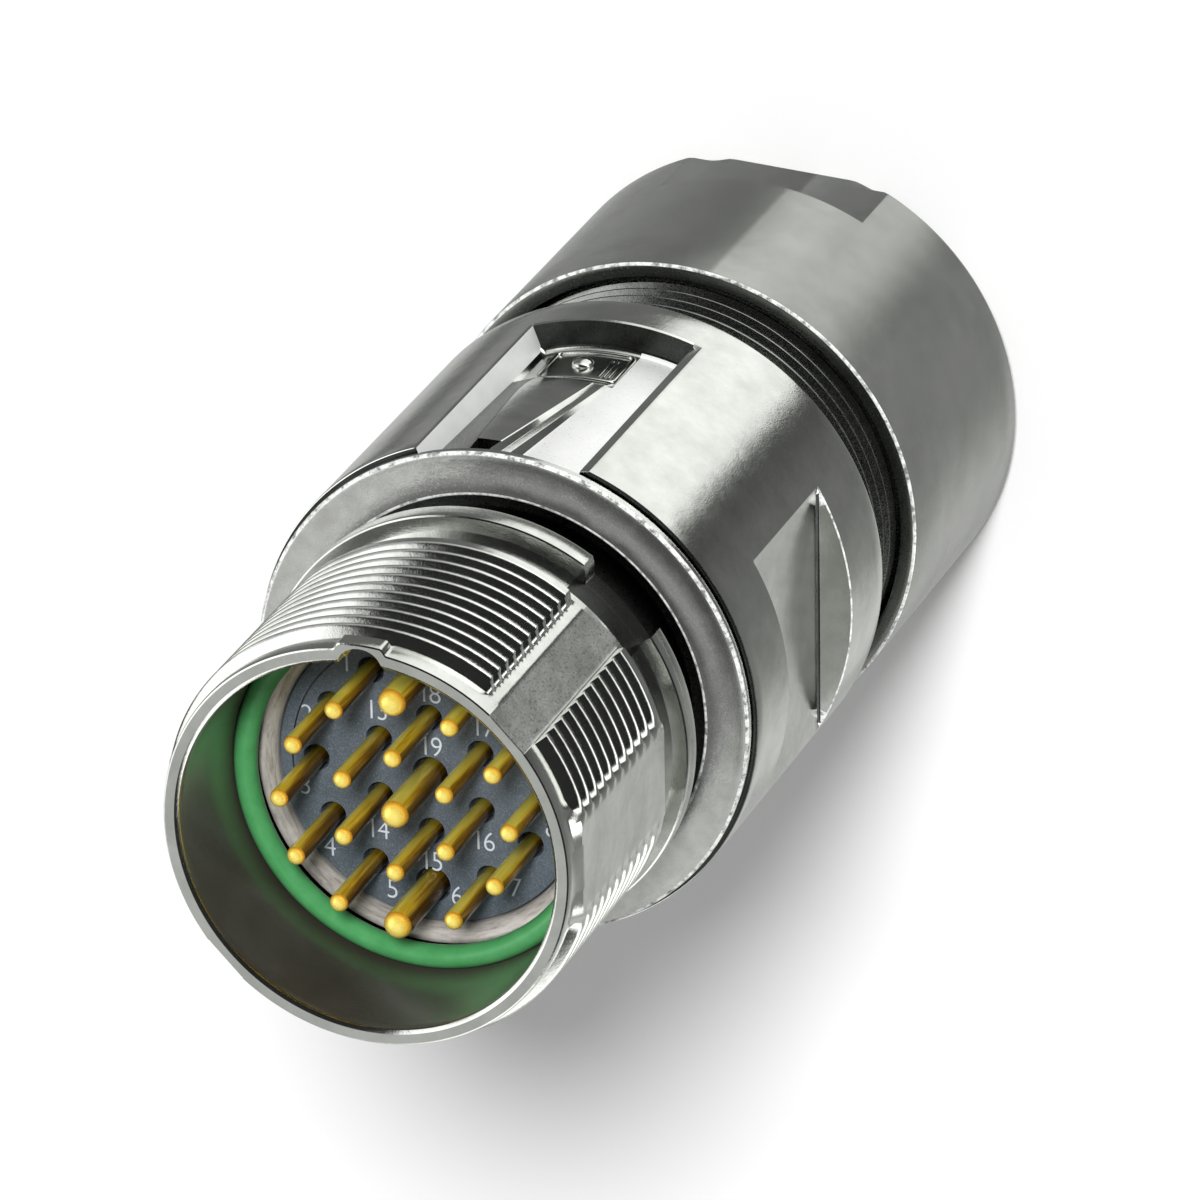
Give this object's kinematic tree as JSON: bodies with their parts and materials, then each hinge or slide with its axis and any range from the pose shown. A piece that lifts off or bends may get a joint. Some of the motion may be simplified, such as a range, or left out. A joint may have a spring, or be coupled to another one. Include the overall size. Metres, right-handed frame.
{
  "type": "circular sensor coupling connector",
  "caption": "Round metal signal coupler with a threaded mouth, gold pins around a centre pin, a green seal and a screwed cable gland nut.",
  "frame": {"origin": "centre of the connector's bounding box at its bottom, which is the centre of the gland nut's rear face", "axes": "+Z along the connector's axis from the cable end to the mating mouth, +Y towards the keyway and the recess on top of the body, +X towards one of the two parting flats"},
  "size_m": [0.0276, 0.0276, 0.0622],
  "materials": {
    "bright_nickel": "polished",
    "satin_nickel": "satin",
    "ring_metal": "satin",
    "green_seal": "satin",
    "insert_plastic": "matte",
    "inner_plastic": "matte",
    "cage_plastic": "matte",
    "black_rubber": "matte",
    "gold_contacts": "polished"
  },
  "bodies": {
    "housing_group": {"coupling_housing": "bright_nickel", "mating_seal": "green_seal", "insert_sleeve": "ring_metal", "contact_insert": "insert_plastic", "contact_retainer": "insert_plastic", "spacer_sleeve": "inner_plastic", "shield_ring": "ring_metal", "contact_01": "gold_contacts", "contact_02": "gold_contacts", "contact_03": "gold_contacts", "contact_04": "gold_contacts", "contact_05": "gold_contacts", "contact_06": "gold_contacts", "contact_07": "gold_contacts", "contact_08": "gold_contacts", "contact_09": "gold_contacts", "contact_10": "gold_contacts", "contact_11": "gold_contacts", "contact_12": "gold_contacts", "contact_13": "gold_contacts", "contact_14": "gold_contacts", "contact_15": "gold_contacts", "contact_16": "gold_contacts", "contact_17": "gold_contacts", "contact_18": "gold_contacts", "contact_19": "gold_contacts"},
    "gland_slide_group": {"slip_ring": "cage_plastic", "clamp_cage": "cage_plastic", "cable_seal": "black_rubber"},
    "gland_nut_group": {"gland_nut": "satin_nickel"}
  },
  "joints": [
    {"name": "gland_slide", "type": "slide", "parent": "housing_group", "child": "gland_slide_group", "axis": [0, 0, 1], "range_m": [-0.004, 0.004]},
    {"name": "gland_nut_turn", "type": "hinge", "parent": "gland_slide_group", "child": "gland_nut_group", "pos_m": [0, 0, 0], "axis": [0, 0, 1], "range_deg": [-1440, 1440]}
  ],
  "couplings": [
    {"joint": "gland_nut_turn", "follows": "gland_slide", "rad_per_m": 6283.2}
  ]
}
